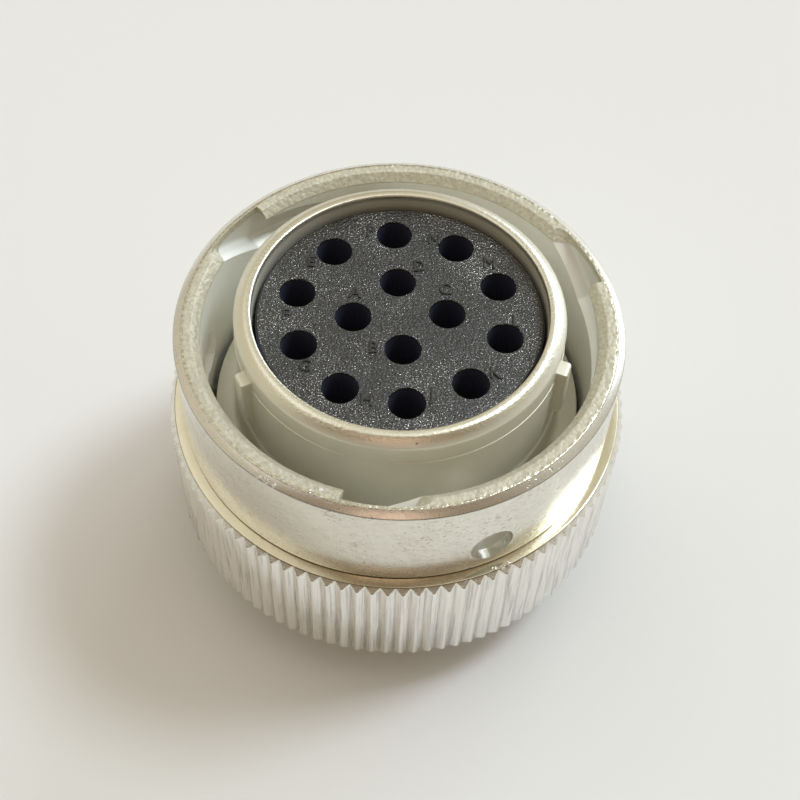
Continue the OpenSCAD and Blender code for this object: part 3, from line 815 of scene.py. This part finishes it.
def ring_plating(finishes, ring):
    """Bright plating on a cast ring: grainy rim, satin nose with small pits, drawn streaks on the knurl."""
    finish = Finish.named("ring_plating")
    place = finish.place()
    height = finish.part(place, "Z")
    radius = finish.radius(place)
    flat, foot = ring.knurl_top, ring.top - ring.bevel_height
    rim_edge = ring.nose_radius - ring.bevel_width
    relief_top = flat + ring.relief_height

    # Where each part of the ring lies
    inside = finish.between(radius, ring.bore_radius + 1.4 * MM, ring.bore_radius + 1.2 * MM)
    outside = 1 - inside
    groove_shade = finish.between(radius, ring.bore_radius + 0.2 * MM, ring.bore_radius + 0.9 * MM)
    on_rim = finish.between(height, ring.top - 0.75 * MM, ring.top - 0.6 * MM) * finish.between(
        radius, rim_edge + 0.08 * MM, rim_edge)
    # A thin band along the lower edge of the rim's bevel, for a painted shade line
    bevel_shade_line = finish.within(height, foot - 0.09 * MM, foot - 0.04 * MM, foot, foot + 0.04 * MM) * outside
    in_relief = finish.within(
        height, flat - 0.1 * MM, flat, relief_top, relief_top + ring.relief_height / 2) * outside
    on_flat = finish.within(height, flat - 0.1 * MM, flat - 0.02 * MM, flat + 0.1 * MM, flat + 0.3 * MM) * outside
    on_knurl = finish.between(height, flat - 0.4 * MM, flat - 0.6 * MM)
    valley_shade = finish.between(radius, ring.tip_radius - 0.3 * MM, ring.tip_radius - 0.44 * MM) * on_knurl * outside

    # Patterns, from the coarsest to the finest, and wear
    cloud = finish.noise(place, 140, detail=3)
    mottle = finish.noise(finish.squeezed(place, (1, 1, 1.8)), 900, detail=4, roughness=0.65)
    pits = finish.between(finish.noise(finish.squeezed(place, (1, 1, 3)), 2300, roughness=0.6), 0.6, 0.68)
    pits = pits * finish.between(finish.noise(place, 260), 0.42, 0.6)
    pits = pits * (1 - on_rim) * (1 - on_knurl) * outside * (1 - in_relief)
    grain = finish.noise(place, 3400, detail=3, roughness=0.7)
    facets = finish.cells(place, 3600)
    streaks = finish.noise(finish.squeezed(place, (1, 1, 0.03)), 5200, detail=3, roughness=0.65)
    fine = finish.noise(place, 6500)
    marks = finish.near(place, ring.top, RIM_CHIPS) + finish.near(place, flat, FLAT_SCUFFS)
    worn = finish.between(marks * 0.35 + grain, 0.79, 0.89)
    speck = finish.near(place, flat, KNURL_SPECK)

    shade = finish.between(cloud, 0.35, 0.65) * 0.4 + finish.between(mottle, 0.35, 0.65) * 0.6
    drawn = finish.mix(finish.between(streaks, 0.48, 0.66), finishes.knurl, scaled(finishes.knurl, 0.7))
    tint = finish.layered(finishes.ring, (
        (shade, scaled(finishes.ring, 0.88)),
        (finish.between(cloud, 0.5, 0.62) * 0.12, finishes.blush),
        # Inside: a whiter tone that is partly painted light on the inner walls, and painted shade in the grooves
        (inside, finish.mix(groove_shade, finishes.bore, scaled(finishes.bore, 0.82))),
        (on_knurl * outside, drawn),
        # Painted shade in the knurl's roots, and a real dark speck on one tooth
        (valley_shade * 0.35 + speck, scaled(finishes.ring, 0.45)),
        (on_rim, finish.mix(facets * grain, finishes.rim, scaled(finishes.rim, 0.6))),
        # Painted reflection of warm light bouncing in the turned relief, over the relief and the flat's edge
        (in_relief * 0.75, finishes.reflection),
        # Dark pits, and a thin painted shade line along the lower edge of the rim's bevel
        (pits * 0.5 + bevel_shade_line * 0.8, scaled(finishes.ring, 0.3)),
        (worn * 0.9, scaled(finishes.ring, 1.12))))
    relief = grain * (0.3 + on_rim * 3.2) + finish.bubbles(place, 2600) * on_rim * 5.5 + fine * 0.3
    relief = (relief + streaks * on_knurl * 7 + mottle * outside - pits * 1.4) * (1 - on_flat * 0.8)
    return finish.done({
        "Base Color": tint, "Metallic": 0.94 - inside * 0.7,
        "Roughness": 0.17 + fine * 0.06 + mottle * 0.12 + inside * 0.2 - on_flat * 0.1 - on_knurl * 0.08,
        "Normal": finish.bump(relief + worn * fine * 10 - speck * 4)})


def shell_plating(finishes, shell):
    """Satin plating on the turned shell: fine turning lines, and a grainy rim."""
    finish = Finish.named("shell_plating")
    place = finish.place()
    on_rim = finish.between(finish.part(place, "Z"), shell.rim - 0.7 * MM, shell.rim - 0.2 * MM)
    cloud = finish.noise(place, 160, detail=3)
    grain = finish.noise(place, 4200, detail=3, roughness=0.6)
    lines = finish.noise(finish.squeezed(place, (0.02, 0.02, 1)), 9000)
    pit = finish.near(place, shell.rim, SHELL_PIT)
    tint = finish.layered(finishes.shell, (
        (finish.between(cloud, 0.35, 0.65), scaled(finishes.shell, 0.93)),
        # The rim face's slightly lighter tone is painted light; its polish comes from metallic and roughness
        (on_rim, scaled(finishes.shell, 1.03)),
        (pit, scaled(finishes.shell, 0.12))))
    return finish.done({
        "Base Color": tint, "Metallic": 0.5 + on_rim * 0.5, "Roughness": 0.4 + cloud * 0.08 - on_rim * 0.16,
        "Normal": finish.bump(grain * (0.4 + on_rim * 3) + lines * 0.35 - pit * 4)})


def insert_black(finishes, face):
    """Rough black moulding whose coarse skin sparkles; below the face the cavities get a painted bluish shade."""
    finish = Finish.named("insert_black")
    place = finish.place()
    deep = finish.between(finish.part(place, "Z"), face - 0.02 * MM, face - 0.15 * MM)
    outer = finish.between(finish.radius(place), 5 * MM, 10.5 * MM)
    patches = finish.noise(place, 260)
    lumps = finish.noise(place, 1500)
    skin = finish.noise(place, 5000, roughness=0.7)
    fleck = finish.noise(place, 8600, detail=1) + patches * 0.25 + outer * 0.035
    fleck = finish.between(fleck, 0.78, 0.84) * (1 - deep)
    # Below the face, in the cavities and down the sides, the moulding gets a painted bluish shade
    tint = finish.layered(scaled(finishes.insert, 0.4), (
        (skin, scaled(finishes.insert, 1.4)), (fleck, finishes.fleck), (deep, finishes.cavity)))
    return finish.done({
        "Base Color": tint, "Metallic": fleck * 0.8, "Roughness": 0.14 + lumps * 0.16 + deep * 0.4,
        "Specular IOR Level": 0.68, "Normal": finish.bump((skin * 14 + lumps * 5) * (1 - deep))})


def letter_black(finishes):
    """The letters' smoother skin."""
    finish = Finish.named("letter_black")
    cloud = finish.noise(finish.place(), 2500)
    return finish.done({
        "Base Color": finish.mix(cloud, scaled(finishes.insert, 0.8), scaled(finishes.insert, 1.4)),
        "Roughness": 0.28 + cloud * 0.15, "Specular IOR Level": 0.65, "Normal": finish.bump(cloud * 3)})


def plain_metal(name, base, roughness, lines):
    """A turned or drawn metal with fine lines around the axis."""
    finish = Finish.named(name)
    place = finish.place()
    cloud = finish.noise(place, 500, detail=3)
    streaks = finish.noise(finish.squeezed(place, (0.05, 0.05, 1)), lines)
    return finish.done({
        "Base Color": finish.mix(cloud, base, scaled(base, 0.85)), "Metallic": 1.0,
        "Roughness": roughness + cloud * 0.12, "Normal": finish.bump(streaks * 0.4)})


def table_top(finishes):
    """A pale matt table with the faintest unevenness."""
    finish = Finish.named("table_top")
    cloud = finish.noise(finish.place(), 9)
    return finish.done({
        "Base Color": finish.mix(cloud, finishes.table, scaled(finishes.table, 0.97)), "Roughness": 0.75})


def soft_lamp(name, azimuth, elevation, width, strength, tint):
    """A distant lamp."""
    lamp = bpy.data.lights.new(name, "SUN")
    lamp.angle = width
    lamp.energy = strength
    lamp.color = tint
    made = bpy.data.objects.new(name, lamp)
    towards = around(math.cos(elevation), azimuth, math.sin(elevation))
    made.rotation_euler = towards.to_track_quat("Z", "Y").to_euler()
    bpy.context.scene.collection.objects.link(made)


def studio(stage):
    """A warm room with a ceiling that is whitest on the left, and a rosy patch and the dark camera in front."""
    finish = Finish(bpy.data.worlds.new("studio"), "Background")
    towards = finish.node("ShaderNodeTexCoord", {}, {}, "Generated")
    across, depth, height = (finish.part(towards, axis) for axis in "XYZ")
    above = finish.between(height, 0.6, 0.8)
    left = finish.between(across, -0.1, -0.35) * finish.between(depth, -0.42, -0.28)
    light = finish.layered(stage.wall, (
        (finish.between(across, -0.1, -0.5), stage.left_wall),
        (finish.between(across, 0.1, 0.5), stage.right_wall),
        (finish.between(depth, -0.2, -0.6), stage.front_wall),
        (finish.between(height, 0.16, 0.12), stage.horizon),
        (above, stage.ceiling),
        (above * finish.between(depth, 0, -0.4), stage.near_ceiling),
        (above * left, stage.white_ceiling)))

    # Round spots: colour, direction, and the cosines from its middle where it starts and where it is full
    spots = (
        (stage.patch, (0, -0.669, 0.743), 0.965, 0.99), (stage.shade, (0, -0.407, 0.914), 0.985, 0.995),
        (stage.zenith, (0.2, 0.08, 0.977), 0.95, 0.985))
    light = finish.layered(light, [
        (finish.between(finish.along(towards, middle), edge, full), tint) for tint, middle, edge, full in spots])
    seen = finish.node("ShaderNodeLightPath", {}, {}, "Is Camera Ray")
    return finish.done({"Color": finish.mix(seen, light, stage.backdrop), "Strength": stage.room_strength})


# Operators

class PLUG_OT_coupling_ring(bpy.types.Operator):
    """Turn, slot, drill and knurl the coupling ring"""
    bl_idname = "plug.coupling_ring"
    bl_label = "Coupling Ring"

    def execute(self, context):
        material = ring_plating(context.scene.plug_finishes, context.scene.plug_ring)
        ring = in_mm(context.scene.plug_ring)
        piece("ring_dressed", dressed_ring(ring), "coupling", material, ["coupling_ring"])
        return {"FINISHED"}


class PLUG_OT_shell(bpy.types.Operator):
    """Turn the shell, set its keys and cut its accessory thread"""
    bl_idname = "plug.shell"
    bl_label = "Shell"

    def execute(self, context):
        material = shell_plating(context.scene.plug_finishes, context.scene.plug_shell)
        shell = in_mm(context.scene.plug_shell)
        piece("shell_dressed", dressed_shell(shell), "plug", material, ["plug_shell"])
        piece("accessory_thread", thread_ridge(shell), "plug", material)
        return {"FINISHED"}


class PLUG_OT_insert(bpy.types.Operator):
    """Mould the insert with its cavities and letters"""
    bl_idname = "plug.insert"
    bl_label = "Insert"

    def execute(self, context):
        finishes = context.scene.plug_finishes
        insert = in_mm(context.scene.plug_insert)
        moulding = insert_black(finishes, context.scene.plug_insert.face)
        piece("insert_dressed", dressed_insert(insert), "plug", moulding, ["contact_insert"])
        piece("position_letters", letters(insert), "plug", letter_black(finishes))
        return {"FINISHED"}


class PLUG_OT_hardware(bpy.types.Operator):
    """Bend the wave spring, and give the contacts, springs and washers their metals"""
    bl_idname = "plug.hardware"
    bl_label = "Small Hardware"

    def execute(self, context):
        finishes = context.scene.plug_finishes
        gold = plain_metal("contact_gold", finishes.contact, 0.22, 9000)
        spring = plain_metal("spring_steel", finishes.spring, 0.3, 7000)
        washer = plain_metal("washer_steel", finishes.washer, 0.28, 7000)
        self.coat(CONTACTS, gold)
        self.coat(("snap_ring", "insert_retaining_ring"), spring)
        self.coat(("thrust_washer", "rear_washer"), washer)
        self.wave_spring(in_mm(context.scene.plug_spring), spring)
        return {"FINISHED"}

    @staticmethod
    def wave_spring(sizes, material):
        """A wave spring that rides on the plug, on a mesh of its own."""
        made = piece("spring_dressed", dressed_spring(sizes), "plug", material, ["wave_spring"])
        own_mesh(made)

    @staticmethod
    def coat(names, material):
        """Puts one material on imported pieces."""
        for name in names:
            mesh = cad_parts[name].data
            mesh.materials.clear()
            mesh.materials.append(material)


class PLUG_OT_stage(bpy.types.Operator):
    """Set up the table, the light and the camera"""
    bl_idname = "plug.stage"
    bl_label = "Stage"

    def execute(self, context):
        stage = context.scene.plug_stage
        self.table(context.scene.plug_finishes)
        self.light(context, stage)
        self.camera(context, stage)
        context.scene.view_settings.view_transform = "Standard"
        return {"FINISHED"}

    @staticmethod
    def table(finishes):
        """A wide table top at the height of the plug's foot."""
        bm = bmesh.new()
        bmesh.ops.create_grid(bm, x_segments=1, y_segments=1, size=TABLE_REACH)
        table = loose_object("table_top", bm)
        table.data.materials.append(table_top(finishes))

    @staticmethod
    def light(context, stage):
        """A soft key light and a low window in a warm room."""
        soft_lamp(
            "key_light", stage.key_azimuth, stage.key_elevation, stage.key_width, stage.key_strength, stage.key_colour)
        soft_lamp(
            "window_light", stage.window_azimuth, stage.window_elevation, stage.window_width, stage.window_strength,
            stage.window_colour)
        context.scene.world = studio(stage)

    @staticmethod
    def camera(context, stage):
        """The camera at the photograph's place, tilt and roll."""
        data = bpy.data.cameras.new("camera")
        data.sensor_width = SENSOR
        data.lens = stage.lens
        data.clip_start = 5 * MM
        camera = bpy.data.objects.new("camera", data)
        context.scene.collection.objects.link(camera)
        pitch = Matrix.Rotation(math.pi / 2 - stage.tilt, 4, "X")
        camera.matrix_world = Matrix.Translation(stage.eye) @ pitch @ Matrix.Rotation(stage.roll, 4, "Z")
        context.scene.camera = camera


OPERATORS = (PLUG_OT_coupling_ring, PLUG_OT_shell, PLUG_OT_insert, PLUG_OT_hardware, PLUG_OT_stage)


class PLUG_PT_sidebar(bpy.types.Panel):
    """Lists the plug's pieces in the sidebar"""
    bl_idname = "PLUG_PT_sidebar"
    bl_label = "Bayonet Cable Plug"
    bl_space_type = "VIEW_3D"
    bl_region_type = "UI"
    bl_category = "Plug"

    def draw(self, context):
        for operator in OPERATORS:
            self.layout.operator(operator.bl_idname)


GROUPS = {
    "plug_ring": PlugRingSizes, "plug_shell": PlugShellSizes, "plug_insert": PlugInsertSizes,
    "plug_spring": PlugSpringSizes, "plug_finishes": PlugFinishes, "plug_stage": PlugStage}


def register():
    """Registers the classes and hangs the properties on the scene."""
    for cls in (*GROUPS.values(), *OPERATORS, PLUG_PT_sidebar):
        bpy.utils.register_class(cls)
    for name, group in GROUPS.items():
        setattr(bpy.types.Scene, name, PointerProperty(type=group))


def unregister():
    """Takes the properties and classes away again."""
    for name in GROUPS:
        delattr(bpy.types.Scene, name)
    for cls in reversed((*GROUPS.values(), *OPERATORS, PLUG_PT_sidebar)):
        bpy.utils.unregister_class(cls)


def main():
    """Builds the plug and its stage."""
    register()
    bpy.ops.plug.coupling_ring()
    bpy.ops.plug.shell()
    bpy.ops.plug.insert()
    bpy.ops.plug.hardware()
    bpy.ops.plug.stage()


if __name__ == "__main__":
    main()
